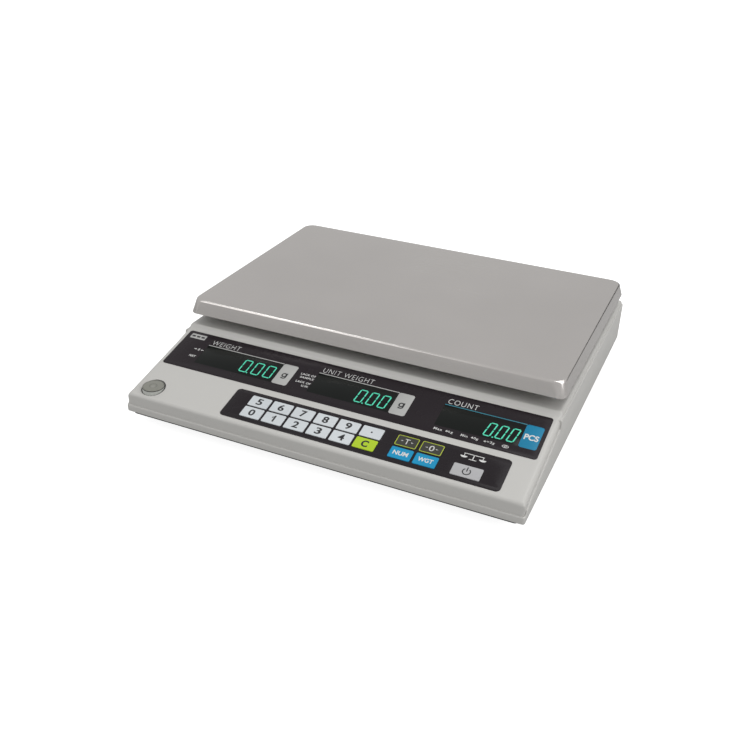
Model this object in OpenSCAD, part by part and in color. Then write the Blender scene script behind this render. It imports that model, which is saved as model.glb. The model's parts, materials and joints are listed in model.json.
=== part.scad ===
// Counting scale: stainless platter on a single-point load cell, in a two-part
// plastic housing with a sloping console in front. Millimetres, +X right, +Y
// back, +Z up. The origin is on the table, under the middle of the housing.

/* [Housing] */
// Width over the lower housing
body_w = 350; // [345:1:360]
// Depth over the lower housing
body_d = 330; // [326:1:340]
// Height of the lower housing's edge above the table
foot_h = 12; // [11:0.5:16]
// Wall thickness of the plastic shells
wall = 2.5; // [2:0.1:3]
// Radius of the housing's upright corners
corner_r = 3.5; // [3.5:0.5:10]
// How far the lower housing stands out past the upper one
lip = 1.2; // [0.8:0.1:1.6]
// Height of the seam at the front
seam_z = 18.3; // [17:0.1:20]
// Height of the ledge under the platter
ledge_z = 52.75; // [52:0.25:54]
// Place of the step between console and ledge
step_y = -71; // [-72:0.5:-70]

/* [Console] */
// Slope of the console, degrees
slope = 12.46; // [11:0.01:13]
// Depth place of the display band's lower edge
band_y = -120.5; // [-122:0.1:-119]
// Height of the display band's lower edge
band_z = 38.7; // [38:0.1:39.5]
// Width of the display band
band_w = 337; // [330:1:340]
// Length of the display band up the slope
band_l = 47.1; // [45:0.1:48]
// Thickness of the display film
film_t = 0.8; // [0.5:0.1:1]
// Thickness of the keypad panel
panel_t = 1.2; // [1:0.1:1.5]

/* [Keys] */
// Width of a key
key_w = 18.1; // [16:0.1:18.5]
// Height of a key up the slope
key_h = 11.5; // [10:0.1:12]
// Spacing of the keys across
key_pitch = 20.24; // [20:0.01:20.5]
// Travel of a key
key_travel = 0.5; // [0.3:0.1:0.6]
// How far a key stands out of the panel
key_rise = 0.5; // [0.3:0.1:0.8]
// Gap round a key
key_gap = 0.2; // [0.15:0.05:0.3]

/* [Platter] */
// Width of the platter at its skirt's lower edge
platter_w = 348; // [340:1:348]
// Depth of the platter at its skirt's lower edge
platter_d = 225; // [215:1:226]
// Height of the platter's top
platter_z = 76.1; // [75:0.1:78]
// Depth of the skirt
skirt_h = 13.3; // [12:0.1:14]
// How far the skirt flares out
flare = 3; // [2:0.1:4]
// Thickness of the platter's sheet
sheet_t = 1.2; // [0.8:0.1:1.5]

/* [Weighing cell] */
// Length of the load cell
cell_l = 150; // [130:1:150]
// Width of the load cell
cell_w = 40; // [30:1:40]
// Height of the load cell
cell_h = 22; // [20:0.5:22]
// Height of the spacer under the load cell's fixed end
spacer_h = 12; // [10:0.5:12]

/* [Feet] */
// Diameter of the levelling screws
foot_d = 8; // [6:1:8]
// Diameter of a foot's rubber sole
sole_d = 30; // [26:1:32]
// Distance of the feet from the middle, across
foot_x = 145; // [140:1:146]
// Distance of the feet from the middle, front to back
foot_y = 128; // [124:1:130]

/* [Hidden] */
$fn = 64;
eps = 0.01;
run = 0.05;            // radial clearance of a running fit
clear = 0.3;           // clearance between pieces that pass each other

// Housing
inner_w = body_w - 2 * wall;
plate_t = 2.6;
plate_flange = 1.6;
plate_z = foot_h - plate_flange;       // underside of the base plate
floor_z = plate_z + plate_t;           // underside of the housing's floor
floor_top = floor_z + wall;
plate_inset = 6;
plate_side = 5;
plate_front = 1.2;
half_d = body_d / 2;
ledge_seam_z = ledge_z - 4;            // seam height under the ledge
side_seam_y = step_y - 4;              // where the side seam steps up to the ledge
seam_drop = 7;                         // side seam below the console's surface
post_r = 4.5;
post_bore = 2;
// Screw posts: x, y
posts = [[-120, -148], [162, -146], [-160, -50], [160, -50], [-160, 150], [160, 150]];

// Console
rows = [-16.3, -29.4];                 // key rows, up the slope from the band's edge
first_key_x = -59.9;
tare_x = 71.2;
zero_x = 91.6;
power_x = 124.2;
power_w = 23.2;
power_h = 12;
panel_x = [-85.5, 152.8];
panel_s = [-39.75, -6.6];
// Display windows: middle, width
windows = [[-102.7, 77], [6.6, 73.8], [117.3, 68.1]];
window_s = 21.1;
window_h = 24.2;
tube_t = 5.8;                          // thickness of a display tube
tube_h = -wall - 0.7;                  // top of a display tube
board_t = 1.6;
display_board_h = tube_h - tube_t;     // top of the display board
flange_t = 0.9;                        // key flange under the panel
key_base = -panel_t - 0.1 - flange_t;  // underside of a key
switch_h = key_base - key_travel - 0.05;
keypad_board_h = -6;
board_post_r = 3;

// Platter and load cell
platter_y = 44.7;
skirt_z = platter_z - skirt_h;
pad_t = 4;
pad_x = 110;
pad_y = 62;
cell_z = floor_z + spacer_h;
cell_top = cell_z + cell_h;
cell_end = 30;                         // length of the cell's clamped end
free_x = cell_l / 2 - cell_end / 2;
support_z = 62;
support_top = platter_z - sheet_t - pad_t;
arm_h = 8;
m6_r = 3;
stop_gap = 0.55;                       // load cell's travel before it meets its stop

// Level, sockets, boards
vial_x = -155.8;
vial_s = -31.2;
vial_r = 8.5;
vial_top = 34.1;
vial_floor = 20;
ring_r = 10;
inlet_x = 115;
fuse_x = 70;
serial_x = -115;
socket_z = 30;
board_z = 20;
board_x = [-160, -96];
board_y = [-30, 112];

// Feet
foot_spots = [[-foot_x, -foot_y], [foot_x, -foot_y], [-foot_x, foot_y], [foot_x, foot_y]];
wheel_z = 4;                           // underside of a foot's turning wheel
wheel_h = plate_z - 0.5 - wheel_z;
wheel_r = 11;
sole_h = 7;
screw_top = 26;
nut_h = 6.5;
nut_r = 7;

function console_z(y) = band_z + (y - band_y) * tan(slope);
function console_y(s) = band_y + s * cos(slope);
function roof_z(y) = min(console_z(y), ledge_z);
function arc(c, r, a0, a1, n) = [for (i = [0:n]) let (a = a0 + (a1 - a0) * i / n)
    [c[0] + r * cos(a), c[1] + r * sin(a)]];

// Sets children on the console: x across, y up the slope, z out of it
module on_console() translate([0, band_y, band_z]) rotate([slope, 0, 0]) children();

// Flat rectangle with round corners, round its own middle
module rounded(w, l, r) {
    square([w - 2 * r, l], center = true);
    square([w, l - 2 * r], center = true);
    for (x = [-1, 1], y = [-1, 1]) translate([x * (w / 2 - r), y * (l / 2 - r)]) circle(r);
}

module slab(w, l, r, h) linear_extrude(height = h) rounded(w, l, r);

// Extrudes a side outline (y, z) across the housing
module across(w) rotate([90, 0, 90]) translate([0, 0, -w / 2]) linear_extrude(height = w)
    children();

// A panel on the console between two x and two s, from height h0 to h1
module console_panel(x, s, r, h0, h1) on_console()
    translate([(x[0] + x[1]) / 2, (s[0] + s[1]) / 2, h0])
        slab(x[1] - x[0], s[1] - s[0], r, h1 - h0);

// Side outline of the upper housing, set in by t
module side_outline(t) {
    front = -half_d + lip + t;
    back = half_d - lip - t;
    drop = t / cos(slope);
    nose = 2.6;
    nose_z = console_z(front + nose) - drop - nose * 0.92;
    polygon(concat(
        [[back, 0], [back, ledge_z - t], [step_y + t, ledge_z - t],
         [step_y + t, console_z(step_y + t) - drop]],
        arc([front + nose, nose_z], nose, 90 + slope, 180, 6),
        [[front, 0]]));
}

// Solid of the upper housing, set in by t, with the console's side edges rounded
module upper_solid(t) {
    edge = 4 - t;
    w = body_w - 2 * lip - 2 * t;
    intersection() {
        across(body_w) side_outline(t);
        slab(w, body_d - 2 * lip - 2 * t, corner_r - t * 0.8, 100);
        union() {
            translate([0, band_y, band_z - t / cos(slope)]) rotate([slope, 0, 0])
                rotate([90, 0, 0]) translate([0, 0, -53]) linear_extrude(height = 160)
                    translate([0, -100]) intersection() {
                        rounded(w, 200, edge);
                        square([w, 200], center = true);
                    }
            translate([0, step_y + t, 0]) rotate([90, 0, 180])
                linear_extrude(height = body_d) translate([0, ledge_z - t - 100])
                    rounded(w, 200, 3.2 - t);
        }
    }
}

// Side outline of everything below the seam, raised by t
module below_seam(t) polygon([
    [-half_d - 5, -1], [-half_d - 5, seam_z + t], [-half_d + lip + 0.5, seam_z + t],
    [-half_d + 7, console_z(-half_d + 7) - seam_drop + t],
    [side_seam_y, console_z(side_seam_y) - seam_drop + t],
    [side_seam_y, ledge_seam_z + t], [half_d + 5, ledge_seam_z + t], [half_d + 5, -1]]);

module screw_post(p, top) translate([p[0], p[1], floor_top])
    cylinder(r = post_r, h = top - floor_top);

// Where the boards' screws stand on the console: x, s, height of the board's top
function board_screw_spots() = concat(
    [for (x = [-163, 163], s = [6, 40]) [x, s, display_board_h]],
    [for (x = [-79, 146], s = [-36, -11]) [x, s, keypad_board_h]]);

module upper_housing() color([0.80, 0.79, 0.77]) difference() {
    union() {
        difference() {
            upper_solid(0);
            upper_solid(wall);
            across(body_w + 10) below_seam(0);
        }
        intersection() {
            upper_solid(wall - eps);
            union() {
                for (p = posts) screw_post(p, 60);
                translate([vial_x, console_y(vial_s), vial_floor - 1.6])
                    cylinder(r = ring_r + 1, h = 20);
                on_console() for (p = board_screw_spots()) translate([p[0], p[1], p[2]])
                    cylinder(r = board_post_r, h = 20);
            }
        }
    }
    for (p = posts) translate([p[0], p[1], 0]) cylinder(r = post_bore, h = roof_z(p[1]) - 7);
    on_console() for (p = board_screw_spots()) translate([p[0], p[1], p[2] - 1])
        cylinder(r = 1.5, h = 5);
    translate([vial_x, console_y(vial_s), vial_floor]) cylinder(r = vial_r + 0.1, h = 30);
    on_console() translate([vial_x, vial_s, -0.8]) cylinder(r = ring_r + 0.1, h = 5);
    console_panel([-band_w / 2 - 0.1, band_w / 2 + 0.1], [-0.1, band_l + 0.1], 2.6, -film_t, 5);
    console_panel([panel_x[0] - 0.1, panel_x[1] + 0.1], [panel_s[0] - 0.1, panel_s[1] + 0.1],
                  3.6, -panel_t, 5);
    console_panel([panel_x[0] + 12, panel_x[1] - 12], [panel_s[0] + 2, panel_s[1] - 2], 2,
                  -wall - 1, 1);
    for (w = windows) console_panel([w[0] - w[1] / 2, w[0] + w[1] / 2],
        [window_s - window_h / 2, window_s + window_h / 2], 1, -wall - 1, 1);
    translate([free_x, platter_y, ledge_z - 5]) slab(cell_end + 14, cell_w + 14, 6, 10);
}

module lower_housing() color([0.78, 0.77, 0.75]) difference() {
    union() {
        difference() {
            translate([0, 0, foot_h]) slab(body_w, body_d, corner_r, 60);
            translate([0, 0, foot_h - 1]) slab(inner_w, body_d - 2 * wall, corner_r - 2, 70);
            difference() {
                translate([0, 0, 45]) cube([body_w + 20, body_d + 20, 90], center = true);
                across(body_w + 10) below_seam(0);
            }
        }
        translate([0, 0, floor_z]) slab(inner_w + 1, body_d - 2 * wall + 1, corner_r - 2, wall);
        for (x = [board_x[0] + 5, board_x[1] - 5], y = [board_y[0] + 5, board_y[1] - 5])
            translate([x, y, floor_top - eps]) cylinder(r = 3.5, h = board_z - floor_top + eps);
    }
    for (x = [board_x[0] + 5, board_x[1] - 5], y = [board_y[0] + 5, board_y[1] - 5])
        translate([x, y, floor_z + 0.5]) cylinder(r = 1.5, h = 20);
    for (p = posts) translate([p[0], p[1], 0]) cylinder(r = 2.3, h = 30);
    for (p = foot_spots) translate([p[0], p[1], 0]) cylinder(r = nut_r + 2, h = 30);
    for (x = [-free_x, free_x]) translate([x, platter_y, 0])
        slab(cell_end + 6, cell_w + 6, 4, 30);
    translate([inlet_x, half_d, socket_z]) rotate([90, 0, 0]) translate([0, 0, -5])
        slab(28.2, 20.6, 2.2, 12);
    translate([fuse_x, half_d + 5, socket_z]) rotate([90, 0, 0]) cylinder(r = 7, h = 12);
    translate([serial_x, half_d, socket_z]) rotate([90, 0, 0]) translate([0, 0, -5])
        slab(31.2, 12.8, 2.2, 12);
}

module base_plate() color([0.10, 0.10, 0.11]) difference() {
    union() {
        translate([0, 0, plate_z])
            slab(body_w - 2 * plate_side, body_d - 2 * plate_front, corner_r, plate_flange);
        translate([0, 0, plate_z + 1])
            slab(body_w - 2 * plate_inset - 2, body_d - 2 * plate_inset, corner_r - 2, plate_t - 1);
    }
    for (p = posts) translate([p[0], p[1], 0]) cylinder(r = 2.3, h = 30);
    for (p = foot_spots) translate([p[0], p[1], 0]) cylinder(d = foot_d + 1, h = 30);
    for (y = [-12, 12]) translate([-free_x, platter_y + y, 0]) cylinder(r = 3.3, h = 30);
    translate([free_x, platter_y, 0]) cylinder(r = 4 + run, h = 30);
}

// Pan-head screw pointing up: its head's top is at z = 0
module screw(r, length, head_r, head_h) {
    translate([0, 0, -head_h]) difference() {
        cylinder(r = head_r, h = head_h);
        for (a = [0, 90]) rotate([0, 0, a]) translate([-r * 0.9, -0.4, -1])
            cube([r * 1.8, 0.8, 1.8]);
    }
    cylinder(r = r, h = length);
}

module housing_screws() color([0.6, 0.6, 0.62])
    for (p = posts) translate([p[0], p[1], plate_z])
        screw(post_bore - run, roof_z(p[1]) - 8 - plate_z, 4, 2.4);

module display_overlay() color([0.17, 0.16, 0.17])
    console_panel([-band_w / 2, band_w / 2], [0, band_l], 2.5, -film_t, 0);

module display_board() color([0.05, 0.30, 0.14]) difference() {
    console_panel([-167, 167], [2.5, 44], 2, display_board_h - board_t, display_board_h);
    on_console() for (x = [-163, 163], s = [6, 40]) translate([x, s, display_board_h - 5])
        cylinder(r = 1.7, h = 10);
}

// Vacuum display tube with a sealed glass body and its lead pins
module display_tube(w) color([0.12, 0.16, 0.16]) console_panel(
    [w[0] - w[1] / 2 - 1.5, w[0] + w[1] / 2 + 1.5],
    [window_s - window_h / 2 - 1.5, window_s + window_h / 2 + 1.5], 1, display_board_h, tube_h);

module vfd_weight() display_tube(windows[0]);
module vfd_unit_weight() display_tube(windows[1]);
module vfd_count() display_tube(windows[2]);

// Key places: x, s, width, height
function digit_key(col, row) = [first_key_x + col * key_pitch, rows[row], key_w, key_h];
function all_keys() = concat(
    [for (row = [0, 1], col = [0:5]) digit_key(col, row)],
    [for (x = [tare_x, zero_x], row = [0, 1]) [x, rows[row], key_w, key_h]],
    [[power_x, -29.2, power_w, power_h]]);

module keypad_overlay() color([0.16, 0.15, 0.16]) difference() {
    console_panel(panel_x, panel_s, 3.5, -panel_t, 0);
    for (k = all_keys()) console_panel(
        [k[0] - k[2] / 2 - key_gap, k[0] + k[2] / 2 + key_gap],
        [k[1] - k[3] / 2 - key_gap, k[1] + k[3] / 2 + key_gap], 1.4, -5, 5);
}

// A key: a cap in its aperture over a wider flange under the panel
module key(k, tint) color(tint) {
    console_panel([k[0] - k[2] / 2, k[0] + k[2] / 2], [k[1] - k[3] / 2, k[1] + k[3] / 2],
                  1.2, key_base, key_rise);
    console_panel([k[0] - k[2] / 2 - 0.6, k[0] + k[2] / 2 + 0.6],
                  [k[1] - k[3] / 2 - 0.6, k[1] + k[3] / 2 + 0.6], 1.6,
                  key_base, key_base + flange_t);
}

white_key = [0.84, 0.87, 0.89];
blue_key = [0.05, 0.56, 0.76];
green_key = [0.67, 0.78, 0.08];
dark_key = [0.17, 0.17, 0.17];
module key_5() key(digit_key(0, 0), white_key);
module key_6() key(digit_key(1, 0), white_key);
module key_7() key(digit_key(2, 0), white_key);
module key_8() key(digit_key(3, 0), white_key);
module key_9() key(digit_key(4, 0), white_key);
module key_point() key(digit_key(5, 0), white_key);
module key_0() key(digit_key(0, 1), white_key);
module key_1() key(digit_key(1, 1), white_key);
module key_2() key(digit_key(2, 1), white_key);
module key_3() key(digit_key(3, 1), white_key);
module key_4() key(digit_key(4, 1), white_key);
module key_clear() key(digit_key(5, 1), green_key);
module key_tare() key([tare_x, rows[0], key_w, key_h], dark_key);
module key_number() key([tare_x, rows[1], key_w, key_h], blue_key);
module key_zero() key([zero_x, rows[0], key_w, key_h], dark_key);
module key_weight() key([zero_x, rows[1], key_w, key_h], blue_key);
module key_power() key([power_x, -29.2, power_w, power_h], [0.72, 0.73, 0.74]);

module keypad_board() color([0.05, 0.30, 0.14]) difference() {
    console_panel([-83, 150], [-38.5, -8], 2, keypad_board_h - board_t, keypad_board_h);
    on_console() for (x = [-79, 146], s = [-36, -11]) translate([x, s, keypad_board_h - 5])
        cylinder(r = 1.7, h = 10);
}

// One tactile switch under each key
module key_switches() color([0.2, 0.2, 0.2]) on_console()
    for (k = all_keys()) translate([k[0], k[1], keypad_board_h]) {
        translate([-3, -3, 0]) cube([6, 6, 2.4]);
        cylinder(r = 1.75, h = switch_h - keypad_board_h);
    }

// Hollow pressed tray, its skirt flaring out, set in by t
module tray(t) translate([0, platter_y, 0]) hull() {
    translate([0, 0, skirt_z - (t > 0 ? 1 : 0)])
        slab(platter_w - 2 * t, platter_d - 2 * t, 6.5 - t, 0.2, $fn = 32);
    translate([0, 0, platter_z - t - 2.2])
        slab(platter_w - 2 * flare - 2 * t + 0.8, platter_d - 2 * flare - 2 * t + 0.8, 5.5 - t, 0.2);
    translate([0, 0, platter_z - t - 0.9])
        slab(platter_w - 2 * flare - 2 * t - 0.6, platter_d - 2 * flare - 2 * t - 0.6, 5.2 - t, 0.2);
    translate([0, 0, platter_z - t - 0.2])
        slab(platter_w - 2 * flare - 2 * t - 3.6, platter_d - 2 * flare - 2 * t - 3.6, 4.4 - t, 0.2);
}

module platter() color([0.68, 0.66, 0.64]) difference() {
    tray(0);
    tray(sheet_t);
}

module platter_pads() color([0.15, 0.15, 0.15])
    for (x = [-pad_x, pad_x], y = [-pad_y, pad_y])
        translate([x, platter_y + y, support_top]) cylinder(r = 8, h = pad_t);

module cell_holes(x, r) for (y = [-12, 12])
    translate([x, platter_y + y, -10]) cylinder(r = r, h = 120);

module platter_support() color([0.62, 0.63, 0.65]) {
    reach = norm([pad_x, pad_y]);
    turn = atan2(pad_y, pad_x);
    difference() {
        union() {
            for (a = [turn, 180 - turn, 180 + turn, -turn]) translate([0, platter_y, support_z])
                rotate([0, 0, a]) translate([0, -7, 0]) cube([reach, 14, arm_h]);
            for (x = [-pad_x, pad_x], y = [-pad_y, pad_y])
                translate([x, platter_y + y, support_z])
                    cylinder(r = 11, h = support_top - support_z);
            translate([-15, platter_y - 25, support_z]) cube([free_x + 35, 50, arm_h]);
        }
        cell_holes(free_x, m6_r + clear);
    }
}

module support_screws() color([0.3, 0.3, 0.32])
    for (y = [-12, 12]) translate([free_x, platter_y + y, support_z + arm_h])
        rotate([180, 0, 0]) screw(m6_r, support_z + arm_h - cell_top + 12, 5, 4);

module upper_spacer() color([0.70, 0.71, 0.73]) difference() {
    translate([free_x - cell_end / 2, platter_y - cell_w / 2, cell_top])
        cube([cell_end, cell_w, support_z - cell_top]);
    cell_holes(free_x, m6_r + clear);
}

// Single-point cell: a bar with a double hole that lets its free end sink level
module load_cell() color([0.75, 0.76, 0.78]) difference() {
    translate([-cell_l / 2, platter_y - cell_w / 2, cell_z]) cube([cell_l, cell_w, cell_h]);
    for (x = [-14, 14]) translate([x, platter_y + cell_w, cell_z + cell_h / 2])
        rotate([90, 0, 0]) cylinder(r = 8.5, h = 2 * cell_w);
    translate([-14, platter_y - cell_w, cell_z + cell_h / 2 - 3]) cube([28, 2 * cell_w, 6]);
    for (y = [-12, 12]) {
        translate([free_x, platter_y + y, cell_top - 14]) cylinder(r = m6_r + run, h = 20);
        translate([-free_x, platter_y + y, cell_z - 6]) cylinder(r = m6_r + run, h = 20);
    }
}

module lower_spacer() color([0.70, 0.71, 0.73]) difference() {
    translate([-free_x - cell_end / 2, platter_y - cell_w / 2, floor_z])
        cube([cell_end, cell_w, spacer_h]);
    cell_holes(-free_x, m6_r + clear);
}

module load_cell_screws() color([0.3, 0.3, 0.32])
    for (y = [-12, 12]) translate([-free_x, platter_y + y, plate_z])
        screw(m6_r, cell_z - plate_z + 12, 5, 4);

// Overload stop: a screw locked in the base plate under the cell's free end
module overload_stop() color([0.3, 0.3, 0.32]) translate([free_x, platter_y, 0]) {
    translate([0, 0, plate_z]) cylinder(r = 4, h = cell_z - stop_gap - plate_z);
    translate([0, 0, floor_z]) cylinder(r = nut_r, h = 5, $fn = 6);
}

// Round cable along a list of points
module tube(points, r, sides) {
    n = len(points);
    function way(i) = let (d = points[min(i + 1, n - 1)] - points[max(i - 1, 0)]) d / norm(d);
    function side(d) = let (c = cross(d, abs(d[2]) > 0.9 ? [0, 1, 0] : [0, 0, 1])) c / norm(c);
    rings = [for (i = [0:n - 1]) let (d = way(i), u = side(d), v = cross(u, d))
        for (j = [0:sides - 1]) let (a = 360 * j / sides)
            points[i] + r * (cos(a) * u + sin(a) * v)];
    polyhedron(rings, concat(
        [[for (j = [0:sides - 1]) j]],
        [for (i = [0:n - 2], j = [0:sides - 1]) let (k = (j + 1) % sides)
            [i * sides + j, (i + 1) * sides + j, (i + 1) * sides + k, i * sides + k]],
        [[for (j = [sides - 1:-1:0]) (n - 1) * sides + j]]));
}

// Route of the load cell's cable, from the cell's fixed end to the main board
cell_cable_route = [[-75, 60, 38], [-79, 60, 38], [-84, 59.5, 37], [-88, 58, 35],
                    [-91, 55, 33], [-95, 51, 32], [-99, 47, 32], [-102, 44, 31.5],
                    [-104, 42, 30.5], [-105, 41.5, 29.5], [-105, 41.5, 28]];
module load_cell_cable() color([0.25, 0.25, 0.26]) tube(cell_cable_route, 2, 10);

// Flat cable whose side outline is a list of points given a thickness
module ribbon(points, t, x, w) {
    n = len(points);
    rotate([90, 0, 90]) translate([0, 0, x]) linear_extrude(height = w)
        polygon(concat(points, [for (i = [n - 1:-1:0]) points[i] + [0, -t]]));
}

module display_cable() color([0.6, 0.6, 0.6])
    ribbon([[-23, 28.5], [-28, 31.5], [-40, 33], [-70, 34], [-86, 34.8], [-92, 34]], 0.9, -140, 20);

module keypad_cable() color([0.6, 0.6, 0.6]) on_console()
    ribbon([[6, -10.7], [3, -13], [-6, -13.5], [-14, -12], [-18, -7.7]], 0.9, -40, 24);

module main_board() color([0.05, 0.30, 0.14]) difference() {
    translate([board_x[0], board_y[0], board_z])
        cube([board_x[1] - board_x[0], board_y[1] - board_y[0], board_t]);
    for (x = [board_x[0] + 5, board_x[1] - 5], y = [board_y[0] + 5, board_y[1] - 5])
        translate([x, y, 0]) cylinder(r = 1.7, h = 40);
}

module board_parts() color([0.12, 0.12, 0.13]) translate([0, 0, board_z + board_t]) {
    translate([-140, 10, 0]) cube([20, 20, 2.2]);
    translate([-142, 45, 0]) cube([10, 26, 4]);
    translate([-142, -29, 0]) cube([24, 8, 6]);
    translate([-110, 34, 0]) cube([10, 14, 6]);
    translate([-128, 96, 0]) cube([22, 10, 9]);
    for (y = [72, 86]) translate([-148, y, 0]) cylinder(r = 5, h = 16);
    for (y = [60, 76]) translate([-112, y, 0]) cube([4, 10, 14]);
}

module board_screws() color([0.6, 0.6, 0.62]) {
    on_console() for (p = board_screw_spots()) translate([p[0], p[1], p[2] - board_t])
        screw(1.5 - run, 5, 2.8, 1.6);
    for (x = [board_x[0] + 5, board_x[1] - 5], y = [board_y[0] + 5, board_y[1] - 5])
        translate([x, y, board_z + board_t]) rotate([180, 0, 0]) screw(1.5 - run, 7, 2.8, 1.6);
}

module transformer() color([0.35, 0.33, 0.30]) translate([95, 68, floor_top]) {
    difference() {
        cube([60, 44, 32]);
        for (x = [10, 38]) translate([x, -1, 8]) cube([12, 46, 16]);
    }
    translate([10.5, -3, 8.5]) cube([11, 50, 15]);
    translate([38.5, -3, 8.5]) cube([11, 50, 15]);
}

module level_vial() color([0.55, 0.60, 0.58, 0.6])
    translate([vial_x, console_y(vial_s), 0]) difference() {
        translate([0, 0, vial_floor]) cylinder(r = vial_r, h = vial_top - vial_floor);
        translate([0, 0, vial_floor + 3]) cylinder(r = vial_r - 1.2, h = vial_top - vial_floor - 4);
    }

module level_bubble() color([0.85, 0.90, 0.85, 0.6])
    translate([vial_x, console_y(vial_s), vial_top - 1]) intersection() {
        sphere(r = 2.4);
        translate([0, 0, -5]) cylinder(r = 5, h = 5 - eps);
    }

// Seat let into the console with a tapered collar that stands upright round the vial
module level_ring() color([0.55, 0.56, 0.54]) difference() {
    union() {
        on_console() translate([vial_x, vial_s, -0.8]) cylinder(r = ring_r, h = 0.9);
        intersection() {
            translate([vial_x, console_y(vial_s), 28]) cylinder(r1 = 9.9, r2 = 9.2, h = vial_top - 28.2);
            on_console() translate([vial_x, vial_s, -0.8]) cylinder(r = ring_r, h = 12);
        }
    }
    translate([vial_x, console_y(vial_s), 0]) cylinder(r = vial_r + 0.1, h = 60);
}

module mains_inlet() color([0.08, 0.08, 0.08]) translate([inlet_x, half_d, socket_z])
    rotate([90, 0, 0]) {
        difference() {
            union() {
                translate([0, 0, 0]) slab(28, 20.4, 2, 22);
                translate([0, 0, wall + 0.1]) slab(40, 26, 3, 2.4);
            }
            translate([0, 0, -1]) slab(24.6, 17, 2, 17);
        }
        for (x = [-7, 0, 7]) translate([x - 1, (x == 0 ? 2 : -1) - 1, 7.5]) cube([2, 2, 9.5]);
    }

module fuse_holder() color([0.08, 0.08, 0.08]) translate([fuse_x, half_d, socket_z])
    rotate([90, 0, 0]) difference() {
        union() {
            cylinder(r = 6.8, h = 26);
            translate([0, 0, wall + 0.1]) cylinder(r = 9, h = 3);
        }
        translate([-4.5, -0.75, -1]) cube([9, 1.5, 2]);
    }

module serial_port() color([0.70, 0.71, 0.73]) translate([serial_x, half_d, socket_z])
    rotate([90, 0, 0]) difference() {
        union() {
            slab(31, 12.5, 2, 12);
            translate([0, 0, wall + 0.1]) slab(38, 16, 2, 2);
        }
        translate([0, 0, -1]) for (i = [0:4]) translate([(i - 2) * 2.77, 1.42, 0])
            cylinder(r = 0.55, h = 5);
        translate([0, 0, -1]) for (i = [0:3]) translate([(i - 1.5) * 2.77, -1.42, 0])
            cylinder(r = 0.55, h = 5);
        for (x = [-12.5, 12.5]) translate([x, 0, -1]) cylinder(r = 1.55, h = 8);
    }

// Rubber sole in which the foot's wheel turns
module foot_sole(p) color([0.06, 0.06, 0.06]) translate([p[0], p[1], 0]) difference() {
    cylinder(d = sole_d, h = sole_h);
    translate([0, 0, wheel_z]) cylinder(r = wheel_r + clear, h = sole_h);
}

// Levelling screw with its knurled wheel
module foot_screw(p) color([0.55, 0.55, 0.57]) translate([p[0], p[1], 0]) {
    difference() {
        translate([0, 0, wheel_z]) cylinder(r = wheel_r, h = wheel_h);
        for (a = [0:30:359]) rotate([0, 0, a]) translate([wheel_r + 0.6, 0, sole_h])
            cylinder(r = 1.4, h = 10, $fn = 24);
    }
    translate([0, 0, wheel_z + wheel_h - eps])
        cylinder(d = foot_d, h = screw_top - wheel_z - wheel_h);
}

module foot_sole_front_left() foot_sole(foot_spots[0]);
module foot_sole_front_right() foot_sole(foot_spots[1]);
module foot_sole_back_left() foot_sole(foot_spots[2]);
module foot_sole_back_right() foot_sole(foot_spots[3]);
module foot_screw_front_left() foot_screw(foot_spots[0]);
module foot_screw_front_right() foot_screw(foot_spots[1]);
module foot_screw_back_left() foot_screw(foot_spots[2]);
module foot_screw_back_right() foot_screw(foot_spots[3]);

module foot_nuts() color([0.55, 0.55, 0.57])
    for (p = foot_spots) translate([p[0], p[1], floor_z]) difference() {
        cylinder(r = nut_r, h = nut_h, $fn = 6);
        translate([0, 0, -1]) cylinder(r = foot_d / 2 + run, h = nut_h + 2);
    }

platter();
platter_pads();
platter_support();
support_screws();
upper_spacer();
load_cell();
lower_spacer();
load_cell_screws();
overload_stop();
load_cell_cable();
upper_housing();
lower_housing();
base_plate();
housing_screws();
display_overlay();
display_board();
vfd_weight();
vfd_unit_weight();
vfd_count();
keypad_overlay();
keypad_board();
key_switches();
key_5();
key_6();
key_7();
key_8();
key_9();
key_point();
key_0();
key_1();
key_2();
key_3();
key_4();
key_clear();
key_tare();
key_number();
key_zero();
key_weight();
key_power();
main_board();
board_parts();
board_screws();
transformer();
display_cable();
keypad_cable();
level_vial();
level_ring();
level_bubble();
mains_inlet();
fuse_holder();
serial_port();
foot_sole_front_left();
foot_sole_front_right();
foot_sole_back_left();
foot_sole_back_right();
foot_screw_front_left();
foot_screw_front_right();
foot_screw_back_left();
foot_screw_back_right();
foot_nuts();
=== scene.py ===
"""Counting scale: pressed stainless platter over a two-part plastic housing with a sloping console."""

import json

import bmesh
import bpy
import numpy as np
from mathutils import Matrix, Vector


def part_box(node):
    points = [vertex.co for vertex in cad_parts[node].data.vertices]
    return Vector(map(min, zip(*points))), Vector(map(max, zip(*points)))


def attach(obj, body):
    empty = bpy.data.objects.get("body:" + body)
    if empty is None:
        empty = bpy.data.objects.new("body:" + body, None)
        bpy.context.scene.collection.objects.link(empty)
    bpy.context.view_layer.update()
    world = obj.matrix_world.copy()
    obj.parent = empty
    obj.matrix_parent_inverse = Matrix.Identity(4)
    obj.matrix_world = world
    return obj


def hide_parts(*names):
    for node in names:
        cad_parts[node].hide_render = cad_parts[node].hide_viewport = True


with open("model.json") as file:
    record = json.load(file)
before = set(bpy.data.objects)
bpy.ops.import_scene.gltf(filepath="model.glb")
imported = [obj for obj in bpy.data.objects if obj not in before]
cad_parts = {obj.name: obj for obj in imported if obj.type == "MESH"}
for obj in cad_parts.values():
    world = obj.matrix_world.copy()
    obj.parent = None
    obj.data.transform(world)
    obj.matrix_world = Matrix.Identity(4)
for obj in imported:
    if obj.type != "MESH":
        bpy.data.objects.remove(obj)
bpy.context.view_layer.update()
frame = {"nodes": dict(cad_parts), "record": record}
MM = 0.001

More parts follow.
